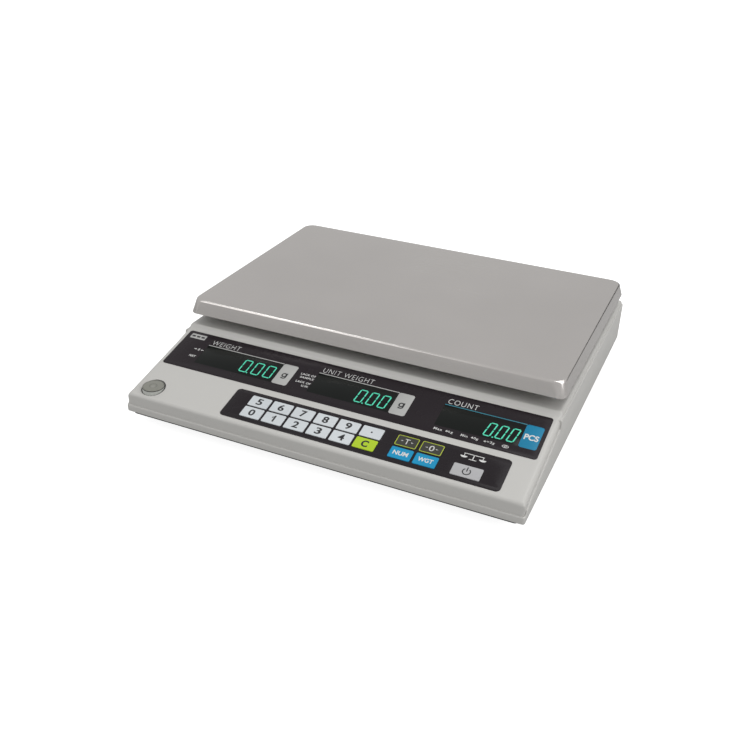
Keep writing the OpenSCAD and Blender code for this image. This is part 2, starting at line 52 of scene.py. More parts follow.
# ---------------------------------------------------------------- camera
VIEW_AZIMUTH, VIEW_ELEVATION, VIEW_ROLL = np.radians([24.07, 29.75, 1.24])
CAMERA_AIM = np.array([0.0017, -0.0442, 0.0300])
CAMERA_DISTANCE = 0.788
CAMERA_LENS = 42.95


def make_camera():
    """Looks at the aim from the view's azimuth and elevation, turned by the roll about its own axis."""
    across = np.array([np.cos(VIEW_AZIMUTH), np.sin(VIEW_AZIMUTH), 0])
    back = np.array([np.sin(VIEW_AZIMUTH) * np.cos(VIEW_ELEVATION),
                     -np.cos(VIEW_AZIMUTH) * np.cos(VIEW_ELEVATION), np.sin(VIEW_ELEVATION)])
    up = np.cross(back, across)
    right = np.cos(VIEW_ROLL) * across + np.sin(VIEW_ROLL) * up
    camera = bpy.data.objects.new("camera", bpy.data.cameras.new("camera"))
    camera.data.lens = CAMERA_LENS
    camera.data.clip_start = 0.01
    turn = np.column_stack([right, np.cross(back, right), back])
    camera.matrix_world = Matrix.Translation(CAMERA_AIM + CAMERA_DISTANCE * back) @ Matrix(turn).to_4x4()
    bpy.context.scene.collection.objects.link(camera)
    bpy.context.scene.camera = camera


make_camera()

# ---------------------------------------------------------------- places taken from the frame
SLOPE = np.radians(12.46)
FILM_DEPTH = 0.8 * MM
BAND_LOW, BAND_HIGH = np.array(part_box("display_overlay"))
BAND_LENGTH = (BAND_HIGH[1] - BAND_LOW[1] - FILM_DEPTH * np.sin(SLOPE)) / np.cos(SLOPE)
BAND_WIDTH = BAND_HIGH[0] - BAND_LOW[0]
BAND_Y = BAND_LOW[1]
BAND_Z = BAND_HIGH[2] - BAND_LENGTH * np.sin(SLOPE)
LOWER_LOW, LOWER_HIGH = np.array(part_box("lower_housing"))
UPPER_LOW, UPPER_HIGH = np.array(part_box("upper_housing"))
PLATTER_LOW, PLATTER_HIGH = np.array(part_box("platter"))
PLATTER_Y = (PLATTER_LOW[1] + PLATTER_HIGH[1]) / 2
LEDGE_Z = UPPER_HIGH[2]
STEP_Y = -71 * MM
FRONT_SEAM_Z = 18.3 * MM
LEDGE_SEAM_Z = LOWER_HIGH[2]
SEAM_DROP = 7 * MM


def middle_of(box):
    """Middle of a box given by its two corners."""
    return (np.array(box[0]) + np.array(box[1])) / 2


def console_height(y):
    """Height of the console's plane at a depth."""
    return BAND_Z + (y - BAND_Y) * np.tan(SLOPE)


def on_console(points):
    """Console places (across, up the slope, out of it), tilted and set at the band's lower edge."""
    x, s, h = np.moveaxis(np.asarray(points, float), -1, 0)
    return np.stack([x, BAND_Y + s * np.cos(SLOPE) - h * np.sin(SLOPE),
                     BAND_Z + s * np.sin(SLOPE) + h * np.cos(SLOPE)], -1)


# ---------------------------------------------------------------- materials
class Finish:
    """A material under construction: its tree, its surface shader and the object's own coordinates."""

    def __init__(self, name, color, roughness, metallic=0.0):
        self.material = bpy.data.materials.new(name)
        self.material.use_nodes = True
        self.tree = self.material.node_tree
        self.shader = self.tree.nodes["Principled BSDF"]
        self.coords = self.tree.nodes.new("ShaderNodeTexCoord").outputs["Object"]
        self.color = color
        self.set("Base Color", (*color, 1))
        self.set("Roughness", roughness)
        self.set("Metallic", metallic)

    def set(self, socket, value):
        self.shader.inputs[socket].default_value = value
        return self

    def add(self, kind, **inputs):
        node = self.tree.nodes.new("ShaderNode" + kind)
        for name, value in inputs.items():
            socket = node.inputs[name.replace("_", " ")]
            if isinstance(value, bpy.types.NodeSocket):
                self.tree.links.new(value, socket)
            else:
                socket.default_value = value
        return node

    def stretched(self, scale):
        """The coordinates multiplied along each axis, so that a pattern runs along the smallest scale."""
        return self.add("Mapping", Vector=self.coords, Scale=scale).outputs["Vector"]

    def noise(self, scale, detail=2.0, at=None, roughness=0.5):
        return self.add("TexNoise", Vector=at or self.coords, Scale=scale, Detail=detail,
                        Roughness=roughness).outputs["Fac"]

    def ramp(self, factor, low, high, stops=(0.0, 1.0)):
        node = self.add("ValToRGB", Fac=factor)
        for element, place, value in zip(node.color_ramp.elements, stops, (low, high)):
            element.position = place
            element.color = (*value, 1) if isinstance(value, (tuple, list)) else (value, value, value, 1)
        return node.outputs["Color"]

    def mottle(self, factor, depth):
        """Colour that varies a little round the base colour as the factor does."""
        low = tuple(c * (1 - depth) for c in self.color)
        high = tuple(min(c * (1 + depth), 1) for c in self.color)
        self.link(self.ramp(factor, low, high, (0.3, 0.7)), "Base Color")
        return self

    def rough(self, factor, low, high):
        self.link(self.ramp(factor, low, high, (0.3, 0.7)), "Roughness")
        return self

    def bump(self, *layers):
        """Relief from layers of (height, depth in metres), laid over one another."""
        normal = None
        for height, depth in layers:
            node = self.add("Bump", Height=height, Distance=depth, Strength=1.0)
            if normal:
                self.tree.links.new(normal, node.inputs["Normal"])
            normal = node.outputs["Normal"]
        self.link(normal, "Normal")
        return self

    def link(self, source, socket):
        self.tree.links.new(source, self.shader.inputs[socket])
        return self


def moulded_plastic(name, color, roughness=0.42, grain=2600, depth=0.012):
    """Injection-moulded plastic: a fine spark-eroded grain and a faint drift of tone."""
    finish = Finish(name, color, roughness)
    finish.mottle(finish.noise(14, 3), 0.012)
    finish.rough(finish.noise(60, 3), roughness - 0.04, roughness + 0.05)
    return finish.bump((finish.noise(grain, 2), depth * MM), (finish.noise(160, 2), 0.02 * MM)).material


def printed_film(name, color, roughness, grain=3200, shine=0.5):
    """Printed polyester film with a fine matt texture."""
    finish = Finish(name, color, roughness)
    finish.mottle(finish.noise(25, 2), 0.05)
    finish.rough(finish.noise(90, 3), roughness - 0.05, roughness + 0.06)
    finish.set("Specular IOR Level", shine)
    return finish.bump((finish.noise(grain, 1), 0.006 * MM)).material


def brushed_steel(name, color, roughness=0.34):
    """Satin stainless sheet: long fine scratches across the width, cloudy sheen and faint handling marks."""
    finish = Finish(name, color, roughness, metallic=1.0)
    grain = finish.noise(1, 4, finish.stretched((18, 1900, 1900)), 0.7)
    clouds = finish.noise(9, 4)
    finish.mottle(clouds, 0.03)
    tone = finish.add("MixRGB", Fac=0.5, Color1=finish.ramp(clouds, 0.20, 0.27, (0.3, 0.7)),
                      Color2=finish.ramp(grain, 0.19, 0.30, (0.3, 0.7)))
    finish.link(tone.outputs["Color"], "Roughness")
    return finish.bump((grain, 0.0025 * MM)).material


def bare_metal(name, color, roughness, grain=700, depth=0.02):
    """Cast, milled or plated metal: base colour and roughness drift with a coarse noise over a fine grain."""
    finish = Finish(name, color, roughness, metallic=1.0)
    finish.mottle(finish.noise(70, 3), 0.06)
    finish.rough(finish.noise(220, 3), roughness - 0.06, roughness + 0.1)
    return finish.bump((finish.noise(grain, 3), depth * MM)).material


def dark_coating(name, color, roughness=0.5, grain=1500, depth=0.03):
    """Powder coat, oxide or rubber: an even dark skin with a fine orange-peel relief."""
    finish = Finish(name, color, roughness)
    finish.mottle(finish.noise(40, 3), 0.12)
    finish.rough(finish.noise(150, 3), roughness - 0.07, roughness + 0.08)
    return finish.bump((finish.noise(grain, 3), depth * MM)).material


def clear_plastic(name, color, roughness=0.05, clear=0.85):
    """Transparent acrylic or fluid with a faint ripple."""
    finish = Finish(name, color, roughness)
    finish.mottle(finish.noise(120, 2), 0.04)
    finish.set("Transmission Weight", clear).set("IOR", 1.49)
    return finish.bump((finish.noise(300, 1), 0.004 * MM)).material


def glowing(name, color, strength):
    """Lit display segment: the phosphor's colour, a little uneven."""
    finish = Finish(name, color, 0.4)
    finish.mottle(finish.noise(800, 2), 0.06)
    finish.set("Emission Color", (*color, 1)).set("Emission Strength", strength)
    return finish.material


def laminated_board(name, color):
    """Solder mask over copper tracks: fine lines of a lighter tone running both ways."""
    finish = Finish(name, color, 0.35)
    tracks = finish.add("TexBrick", Vector=finish.coords, Scale=180.0, Color1=(*color, 1),
                        Color2=(*[c * 1.5 for c in color], 1), Mortar=(*[c * 0.6 for c in color], 1))
    finish.link(tracks.outputs["Color"], "Base Color")
    return finish.bump((tracks.outputs["Fac"], 0.03 * MM)).material


HOUSING_GREY = (0.530, 0.522, 0.500)
HOUSING_TOP = moulded_plastic("housing_top", HOUSING_GREY)
HOUSING_BOTTOM = moulded_plastic("housing_bottom", HOUSING_GREY)
STAINLESS = brushed_steel("stainless", (0.650, 0.622, 0.600))
DISPLAY_FILM = printed_film("display_film", (0.021, 0.0165, 0.0195), 0.25, shine=0.12)
KEYPAD_FILM = printed_film("keypad_film", (0.020, 0.0165, 0.019), 0.27, shine=0.12)
DISPLAY_GLASS = printed_film("display_glass", (0.0085, 0.0100, 0.0092), 0.12, shine=0.14)
SEGMENT_GREEN = glowing("segment_green", (0.060, 0.52, 0.34), 0.38)
PRINT_WHITE = printed_film("print_white", (0.66, 0.66, 0.65), 0.45)
PRINT_BLACK = printed_film("print_black", (0.012, 0.012, 0.014), 0.45)
PRINT_TEAL = printed_film("print_teal", (0.02, 0.20, 0.27), 0.45)
PRINT_LIME = printed_film("print_lime", (0.42, 0.50, 0.03), 0.45)
TAG_GREY = printed_film("tag_grey", (0.42, 0.42, 0.41), 0.45)
TAG_BLUE = printed_film("tag_blue", (0.006, 0.20, 0.36), 0.42, shine=0.3)
KEY_FINISH = {
    "key_white": printed_film("key_white", (0.60, 0.635, 0.655), 0.42),
    "key_green": printed_film("key_green", (0.40, 0.575, 0.008), 0.42),
    "key_dark": printed_film("key_dark", (0.030, 0.030, 0.022), 0.42),
    "key_blue": printed_film("key_blue", (0.004, 0.27, 0.50), 0.42, shine=0.3),
    "key_grey": printed_film("key_grey", (0.43, 0.43, 0.44), 0.42),
}
RUBBER = dark_coating("rubber", (0.02, 0.02, 0.02), 0.75, 900, 0.06)
ZINC = bare_metal("zinc_screws", (0.62, 0.61, 0.58), 0.28)
CAD_FINISH = {
    "rubber": RUBBER,
    "cast_aluminium": bare_metal("cast_aluminium", (0.55, 0.56, 0.58), 0.48, 500, 0.12),
    "machined_aluminium": bare_metal("machined_aluminium", (0.70, 0.71, 0.73), 0.30),
    "cell_aluminium": bare_metal("cell_aluminium", (0.74, 0.75, 0.77), 0.26),
    "black_steel": dark_coating("black_steel", (0.03, 0.03, 0.032), 0.38),
    "cable_grey": dark_coating("cable_grey", (0.05, 0.05, 0.053), 0.5),
    "housing_top": HOUSING_TOP,
    "housing_bottom": HOUSING_BOTTOM,
    "black_plate": dark_coating("black_plate", (0.012, 0.012, 0.014), 0.45),
    "zinc_screws": ZINC,
    "display_film": DISPLAY_FILM,
    "keypad_film": KEYPAD_FILM,
    "circuit_board": laminated_board("circuit_board", (0.012, 0.12, 0.04)),
    "display_glass": DISPLAY_GLASS,
    "switch_black": dark_coating("switch_black", (0.03, 0.03, 0.03), 0.4),
    "component_black": dark_coating("component_black", (0.02, 0.02, 0.022), 0.5),
    "transformer_steel": bare_metal("transformer_steel", (0.20, 0.17, 0.14), 0.45, 400, 0.1),
    "ribbon_grey": moulded_plastic("ribbon_grey", (0.30, 0.30, 0.31), 0.5),
    "vial_acrylic": clear_plastic("vial_acrylic", (0.62, 0.72, 0.66)),
    "level_ring": moulded_plastic("level_ring", (0.36, 0.365, 0.35), 0.3),
    "bubble": moulded_plastic("bubble", (0.26, 0.26, 0.23), 0.06, 800, 0.004),
    "connector_black": moulded_plastic("connector_black", (0.015, 0.015, 0.016), 0.4),
    "connector_metal": bare_metal("connector_metal", (0.62, 0.62, 0.64), 0.25),
    "stainless": STAINLESS,
    **KEY_FINISH,
}
VIAL_RIM = moulded_plastic("vial_rim", (0.50, 0.51, 0.48), 0.12, 800, 0.004)
VIAL_FLUID = moulded_plastic("vial_fluid", (0.225, 0.225, 0.195), 0.12, 800, 0.004)
SLOT_OF = {row["node"]: row["material_slot"] for row in frame["record"]["subparts"]}


def finish_cad_nodes():
    for name, node in frame["nodes"].items():
        node.data.materials.clear()
        node.data.materials.append(CAD_FINISH[SLOT_OF[name]])


finish_cad_nodes()


# ---------------------------------------------------------------- mesh making
def shade(mesh, sharp=32):
    """Smooth faces, with edges sharper than the angle kept crisp."""
    mesh.polygons.foreach_set("use_smooth", np.ones(len(mesh.polygons), bool))
    mesh.set_sharp_from_angle(angle=np.radians(sharp))


def weld(name, grids, material, sharp=32):
    """One closed mesh from grids of points: shared borders welded, empty faces dropped, faces outward."""
    corners, faces, start = [], [], 0
    for points in grids:
        rows, columns = points.shape[:2]
        index = np.arange(rows * columns).reshape(rows, columns) + start
        faces.append(np.stack([index[:-1, :-1], index[1:, :-1], index[1:, 1:], index[:-1, 1:]], -1)
                     .reshape(-1, 4))
        corners.append(points.reshape(-1, 3))
        start += rows * columns
    mesh = bpy.data.meshes.new(name)
    mesh.from_pydata(np.concatenate(corners).tolist(), [], np.concatenate(faces).tolist())
    tidy_mesh(mesh)
    shade(mesh, sharp)
    mesh.materials.append(material)
    return link(name, mesh)


def tidy_mesh(mesh, distance=0.004 * MM, outward=True):
    """Merges points nearer than the distance, drops empty faces and turns the others outward."""
    made = bmesh.new()
    made.from_mesh(mesh)
    bmesh.ops.remove_doubles(made, verts=made.verts, dist=distance)
    bmesh.ops.dissolve_degenerate(made, edges=made.edges, dist=distance / 2)
    if outward:
        bmesh.ops.recalc_face_normals(made, faces=made.faces)
    made.to_mesh(mesh)
    made.free()
    mesh.update()


def link(name, data):
    piece = bpy.data.objects.new(name, data)
    bpy.context.scene.collection.objects.link(piece)
    return piece


def settle(piece):
    """Replaces the piece's mesh by what its modifiers, curve or text make of it."""
    bpy.context.view_layer.update()
    made = bpy.data.meshes.new_from_object(piece.evaluated_get(bpy.context.evaluated_depsgraph_get()))
    if piece.type == "MESH":
        piece.modifiers.clear()
        piece.data = made
        return piece
    settled = link(piece.name + "_mesh", made)
    name = piece.name
    bpy.data.objects.remove(piece)
    settled.name = name
    return settled


def cut(piece, cutters, sharp=32):
    """Takes the cutters' volumes out of the piece."""
    for cutter in cutters:
        modifier = piece.modifiers.new("cut", "BOOLEAN")
        modifier.operation = "DIFFERENCE"
        modifier.solver = "EXACT"
        modifier.object = cutter
    settle(piece)
    for cutter in cutters:
        bpy.data.objects.remove(cutter)
    tidy_mesh(piece.data, 0.002 * MM, outward=False)
    shade(piece.data, sharp)
    return piece


def join(name, pieces):
    """One object from several, each part keeping its own material."""
    with bpy.context.temp_override(active_object=pieces[0], object=pieces[0],
                                   selected_objects=pieces, selected_editable_objects=pieces):
        bpy.ops.object.join()
    pieces[0].name = name
    return pieces[0]


def move_points(piece, place):
    """Sends every point of the piece's mesh through a function of an (n, 3) array."""
    points = np.empty(len(piece.data.vertices) * 3)
    piece.data.vertices.foreach_get("co", points)
    piece.data.vertices.foreach_set("co", place(points.reshape(-1, 3)).ravel())
    piece.data.update()
    return piece


def fillet_path(points, radii, steps=6):
    """A polyline whose inner corners are arcs of the given radii, each touching both of its sides."""
    points = np.asarray(points, float)
    path = [points[:1]]
    for before, corner, after, radius in zip(points[:-2], points[1:-1], points[2:], radii):
        back, ahead = before - corner, after - corner
        back, ahead = back / np.linalg.norm(back), ahead / np.linalg.norm(ahead)
        half = np.arccos(np.clip(back @ ahead, -1, 1)) / 2
        if radius == 0:
            path.append(corner[None])
            continue
        middle = (back + ahead) / np.linalg.norm(back + ahead)
        centre = corner + middle * radius / np.sin(half)
        start = corner + back * radius / np.tan(half) - centre
        end = corner + ahead * radius / np.tan(half) - centre
        share = np.linspace(0, 1, steps + 1)[:, None]
        sweep = np.pi - 2 * half
        path.append(centre + (np.sin((1 - share) * sweep) * start + np.sin(share * sweep) * end)
                    / np.sin(sweep))
    path.append(points[-1:])
    return np.concatenate(path)


def draped_grid(lines_x, lines_y, steps):
    """Grid that covers a rounded block. Over the inner rectangle it follows the given lines. Past each side
    it takes so many steps along the edge, and in the corners the steps fan out round the corner's centre.
    Returns each point's place on the inner rectangle, its outward direction and its step."""
    def axis(lines):
        over = np.concatenate([np.arange(steps, 0, -1), np.zeros(len(lines), int), np.arange(1, steps + 1)])
        side = np.concatenate([-np.ones(steps), np.zeros(len(lines)), np.ones(steps)])
        place = np.concatenate([np.full(steps, lines[0]), lines, np.full(steps, lines[-1])])
        return over, side, place
    (over_x, side_x, place_x), (over_y, side_y, place_y) = axis(lines_x), axis(lines_y)
    a, b = over_x[:, None] + 0 * over_y, over_y[None, :] + 0 * over_x[:, None]
    angle = np.radians(np.where(b >= a, 90 - 45 * a / np.maximum(b, 1), 45 * b / np.maximum(a, 1)))
    place = np.stack(np.meshgrid(place_x, place_y, indexing="ij"), -1)
    way = np.stack([np.cos(angle) * side_x[:, None], np.sin(angle) * side_y[None, :]], -1)
    return place, way, np.maximum(a, b)


def outline_reach(angle, band, radius):
    """Distance from a point one band in from two walls to the outline that rounds their corner."""
    flat = band - radius
    lean = flat * (np.cos(angle) + np.sin(angle))
    bent = lean + np.sqrt(np.maximum(lean ** 2 - 2 * flat ** 2 + radius ** 2, 0))
    with np.errstate(divide="ignore"):
        wall = band / np.maximum(np.cos(angle), np.sin(angle))
        short = band * np.minimum(np.cos(angle), np.sin(angle)) / np.maximum(np.cos(angle), np.sin(angle))
    return np.where(short <= flat, wall, bent)


def rounded_block(half_x, half_y, corner, section, middle=(0, 0), lines=6, opening=-1.0):
    """Closed block on a rounded rectangle. The section runs from the top over the edge to the underside as
    (distance in from the wall, height). It starts and ends on the inner rectangle. The corner's radius
    changes by the opening for each unit in from the wall."""
    section = np.asarray(section, float)
    band = section[0, 0]
    line_x = np.linspace(band - half_x, half_x - band, lines)
    line_y = np.linspace(band - half_y, half_y - band, lines)
    place, way, step = draped_grid(line_x, line_y, len(section) - 1)
    inset, height = section[step, 0], section[step, 1]
    fan = np.arctan2(np.abs(way[..., 1]), np.abs(way[..., 0]))
    reach = outline_reach(fan, band - inset, np.maximum(corner + opening * inset, 0.02 * MM))
    flat = place + way * np.where(inset < band - 1e-7, reach, 0)[..., None]
    top = np.concatenate([flat + middle, height[..., None]], -1)
    under = np.stack(np.meshgrid(line_x + middle[0], line_y + middle[1], indexing="ij"), -1)
    under = np.concatenate([under, np.full(under.shape[:2] + (1,), section[-1, 1])], -1)
    return [top, under]


def slab(half_x, half_y, corner, low, high, edge, middle=(0, 0)):
    """A rounded block with one radius on its upper edge and a sharp lower edge."""
    section = fillet_path([(corner, high), (0, high), (0, low), (corner, low)], [edge, 0])
    return rounded_block(half_x, half_y, corner, section, middle)


def turned(section, middle=(0, 0), sides=96):
    """Surface of revolution: a closed section of (radius, height) carried round an upright axis."""
    section = np.asarray(section, float)
    angle = np.linspace(0, 2 * np.pi, sides + 1)
    return np.stack([middle[0] + section[:, :1] * np.cos(angle), middle[1] + section[:, :1] * np.sin(angle),
                     section[:, 1:] + 0 * angle], -1)


def cylinder_grid(radius, low, high, middle):
    """Upright closed cylinder."""
    return turned([(0, low), (radius, low), (radius, high), (0, high)], middle, 64)


def rounded_outline(x0, x1, s0, s1, radius, steps=8):
    """Points round a rectangle with arcs for corners, anticlockwise."""
    angle = np.linspace(0, np.pi / 2, steps + 1)
    arcs = [np.stack([cx + radius * np.cos(angle + turn), cs + radius * np.sin(angle + turn)], -1)
            for cx, cs, turn in ((x1 - radius, s1 - radius, 0), (x0 + radius, s1 - radius, np.pi / 2),
                                 (x0 + radius, s0 + radius, np.pi), (x1 - radius, s0 + radius, 1.5 * np.pi))]
    return np.concatenate(arcs)


def plate(name, outlines, low, high, material, ease=0.05 * MM):
    """Flat plate between closed outlines, holes among them, with eased edges, laid on the console."""
    curve = bpy.data.curves.new(name, "CURVE")
    curve.dimensions, curve.fill_mode = "2D", "BOTH"
    curve.extrude = (high - low) / 2 - ease
    curve.bevel_depth, curve.bevel_resolution = ease, 1
    for outline in outlines:
        spline = curve.splines.new("POLY")
        spline.points.add(len(outline) - 1)
        flat = np.column_stack([outline, np.zeros(len(outline)), np.ones(len(outline))])
        spline.points.foreach_set("co", flat.ravel())
        spline.use_cyclic_u = True
    piece = settle(link(name, curve))
    tidy_mesh(piece.data, 0.001 * MM)
    shade(piece.data, 60)
    piece.data.materials.clear()
    piece.data.materials.append(material)
    return move_points(piece, lambda p: on_console(p + [0, 0, (low + high) / 2]))


PRINT_THICK = 0.02 * MM
PRINT_EASE = 0.002 * MM


def ink(name, outlines, low, material, layers=1):
    """Printed mark between closed outlines, laid on the console at the given height."""
    return plate(name, outlines, low, low + layers * PRINT_THICK, material, PRINT_EASE)


def box_outline(x0, x1, s0, s1):
    return np.array([(x0, s0), (x1, s0), (x1, s1), (x0, s1)])


def lettering(name, text, x0, x1, s0, s1, height, material, weight=0.0, spacing=1.0):
    """Printed word that fills a box on the console, its strokes thickened by the weight."""
    words = bpy.data.curves.new(name, "FONT")
    words.body = text
    words.offset = weight
    words.space_character = spacing
    words.extrude = 0.5
    piece = settle(link(name, words))
    tidy_mesh(piece.data, 1e-5)

    def fit(points):
        low, high = points.min(0), points.max(0)
        unit = (points - low) / (high - low)
        return on_console(unit * [x1 - x0, s1 - s0, PRINT_THICK] + [x0, s0, height])
    move_points(piece, fit)
    piece.data.materials.clear()
    piece.data.materials.append(material)
    return piece


# ---------------------------------------------------------------- platter
def make_platter():
    """Pressed tray upside down: flat top, bend, flaring skirt with an eased lip, and the sheet's thickness.
    Its corners open from tight at the lip to wide at the top."""
    half_x = (PLATTER_HIGH[0] - PLATTER_LOW[0]) / 2
    half_y = (PLATTER_HIGH[1] - PLATTER_LOW[1]) / 2
    band, flare, sheet, corner, opening = 18 * MM, 3 * MM, 1.2 * MM, 6.5 * MM, 0.9
    top, lip = PLATTER_HIGH[2], PLATTER_LOW[2]
    section = fillet_path(
        [(band, top), (flare, top), (0, lip), (sheet, lip), (flare + sheet * 0.9, top - sheet),
         (band, top - sheet)],
        [2.0 * MM, 0.5 * MM, 0.5 * MM, 0.9 * MM], 8)
    tray = weld("platter_tray", rounded_block(half_x, half_y, corner, section, (0, PLATTER_Y), 24, opening),
                STAINLESS, 40)
    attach(tray, "platter")
    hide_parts("platter")


make_platter()

# ---------------------------------------------------------------- housing
CORNER = 1.8 * MM        # upright corners of the lower housing
UPPER_CORNER = CORNER - 0.4 * MM
LEAST_CORNER = 0.3 * MM
SIDE_ROLL, LEDGE_ROLL, FRONT_ROLL = 4.0 * MM, 3.0 * MM, 2.4 * MM
ROLL_SHRINK = 0.8        # how much a roll's radius loses for each unit in from the outside
CLIMB = 5 * MM           # length of the soft steps of the ledge and of the seam
BEFORE = 1.2 * MM
BAND = 8 * MM
UPPER_HALF = (UPPER_HIGH - UPPER_LOW) / 2
LOWER_HALF = (LOWER_HIGH - LOWER_LOW) / 2
MARK_Y = -75.8 * MM      # where the seam steps up beside the console
VIAL = middle_of(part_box("level_vial"))
VIAL_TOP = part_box("level_vial")[1][2]


def smooth(share):
    """0 below 0, 1 above 1, and a smooth climb between."""
    share = np.clip(share, 0, 1)
    return share * share * (3 - 2 * share)


def top_height(y):
    """Console plane in front, flat ledge behind, and a soft step between them."""
    rise = smooth((y - STEP_Y + BEFORE) / CLIMB)
    return console_height(np.minimum(y, STEP_Y)) * (1 - rise) + LEDGE_Z * rise


def seam_height(y):
    """Level along the front, then climbing round the corner to run a little under the console's edge. Just
    before the ledge it steps up, and goes on level under the ledge's edge."""
    under = console_height(np.minimum(y, STEP_Y))
    climb = smooth((y - LOWER_LOW[1] - BEFORE) / CLIMB)
    side = FRONT_SEAM_Z + (under - SEAM_DROP - FRONT_SEAM_Z) * climb
    return side + (LEDGE_SEAM_Z - side) * smooth((y - MARK_Y) / (0.9 * MM))


def dense_lines(low, high, near, count):
    """Even lines from low to high, with extra ones at the places where the shape turns."""
    return np.unique(np.concatenate([np.linspace(low, high, count), near]))


SEAM_LINES = np.concatenate([np.linspace(MARK_Y - 0.3 * MM, MARK_Y + 1.2 * MM, 11),
                             np.linspace(STEP_Y - 3 * MM, STEP_Y + 6 * MM, 22)])
ROLL_TURN = np.radians(np.linspace(0, 90, 9))
WALL_DOWN = np.linspace(0, 1, 6)[1:]
SHELL_WALL = 2.2 * MM


def upper_skin(insets):
    """The upper housing's surface, set in by a distance for each step over its edge. An arc rolls the top
    over into the wall: tight along the front, wider beside the console. The wall runs down to the seam."""
    angle = np.concatenate([[0], ROLL_TURN, np.full(len(WALL_DOWN) + 1, np.pi / 2)])
    down = np.concatenate([np.zeros(len(ROLL_TURN) + 1), WALL_DOWN, [1]])
    half_x, half_y = UPPER_HALF[0] - BAND, UPPER_HALF[1] - BAND
    line_y = dense_lines(-half_y, half_y, SEAM_LINES, 40)
    place, way, step = draped_grid(np.linspace(-half_x, half_x, 30), line_y, len(angle) - 1)
    inset, turned_by, lowered = insets[step], angle[step], down[step]
    fan = np.arctan2(np.abs(way[..., 1]), np.abs(way[..., 0]))
    reach = outline_reach(fan, BAND - inset, np.maximum(UPPER_CORNER - inset * ROLL_SHRINK, LEAST_CORNER))
    roll = SIDE_ROLL - (SIDE_ROLL - LEDGE_ROLL) * smooth((place[..., 1] - MARK_Y + 12 * MM) / (10 * MM))
    to_front = np.where(way[..., 1] < 0, way[..., 1] ** 2, 0)
    roll = roll + (FRONT_ROLL - roll) * to_front - inset * ROLL_SHRINK
    share = np.where(step > 0, 1 - roll / BAND * (1 - np.sin(turned_by)), 0)
    flat = place + way * (reach * share)[..., None]
    outer = place + way * (outline_reach(fan, BAND, UPPER_CORNER) * share)[..., None]
    top = top_height(flat[..., 1] - 0.7 * inset) - inset - roll * (1 - np.cos(turned_by))
    ceiling = top_height(outer[..., 1]) - roll - inset * ROLL_SHRINK - 0.4 * MM
    seam = np.minimum(seam_height(outer[..., 1]), ceiling)
    return np.concatenate([flat, (top + (seam - top) * lowered)[..., None]], -1)


def make_upper_housing():
    """Outside and inside skins joined along the seam, with the platter's hole, the level's well and the
    keypad's recess cut out of them."""
    steps = len(ROLL_TURN) + len(WALL_DOWN) + 2
    outside = np.zeros(steps)
    outside[-1] = SHELL_WALL
    shell = weld("upper_housing_shell", [upper_skin(outside), upper_skin(np.full(steps, SHELL_WALL))],
                 HOUSING_TOP)
    middle = middle_of(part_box("upper_spacer"))[:2]
    vial_s = (VIAL[1] - BAND_Y) / np.cos(SLOPE)
    cutters = [
        weld("hole", slab(22 * MM, 27 * MM, 6 * MM, LEDGE_Z - 9 * MM, LEDGE_Z + 9 * MM, 0, middle),
             HOUSING_TOP),
        move_points(weld("well", [cylinder_grid(10.45 * MM, -9 * MM, 6 * MM, (VIAL[0], vial_s))],
                         HOUSING_TOP), on_console),
        move_points(weld("keypad_well", slab(110 * MM, 14.6 * MM, 2 * MM, -8 * MM, 5 * MM, 0,
                                             (33.6 * MM, -23.2 * MM)), HOUSING_TOP), on_console),
    ]
    cut(shell, cutters)
    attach(shell, "root")
    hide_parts("upper_housing")


def outline_round(half_x, half_y, band, lines_x, lines_y, steps=12):
    """Points of the inner rectangle one band in, with their outward directions and how far each direction
    has turned past a wall's. They start on the right and go round to where they began."""
    arc = np.radians(np.linspace(0, 90, steps + 1))
    right = np.column_stack([np.full(len(lines_y), half_x - band), lines_y])
    back = np.column_stack([lines_x[::-1], np.full(len(lines_x), half_y - band)])
    base, turned_by, way = [], [], []
    for quarter, points in enumerate((right, back, -right, -back)):
        base += [points, np.repeat(points[-1:], len(arc), 0)]
        turned_by += [np.zeros(len(points)), arc]
        way += [np.full(len(points), quarter * np.pi / 2), quarter * np.pi / 2 + arc]
    base, turned_by, way = (np.concatenate(row + [row[0][:1]]) for row in (base, turned_by, way))
    return base, np.column_stack([np.cos(way), np.sin(way)]), turned_by


